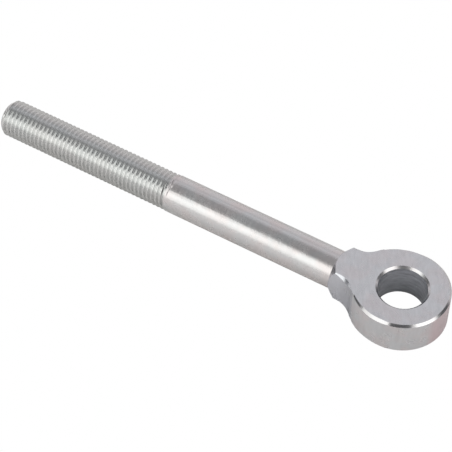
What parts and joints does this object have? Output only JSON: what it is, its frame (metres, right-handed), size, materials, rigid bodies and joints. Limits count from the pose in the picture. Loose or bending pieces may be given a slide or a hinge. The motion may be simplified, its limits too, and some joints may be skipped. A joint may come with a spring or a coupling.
{
  "type": "eye screw",
  "caption": "Long steel eye screw: a thick flat eye with a bevelled bore, a short turned neck, a plain shank and a long threaded end.",
  "frame": {"origin": "centre of the eye's bore, midway between the eye's two flat faces", "axes": "+X along the shank to the threaded end, +Z along the bore's axis"},
  "size_m": [0.2078, 0.0388, 0.0164],
  "materials": {
    "steel": "bright zinc plated"
  },
  "bodies": {
    "root": {"eye_screw": "steel"}
  },
  "joints": []
}
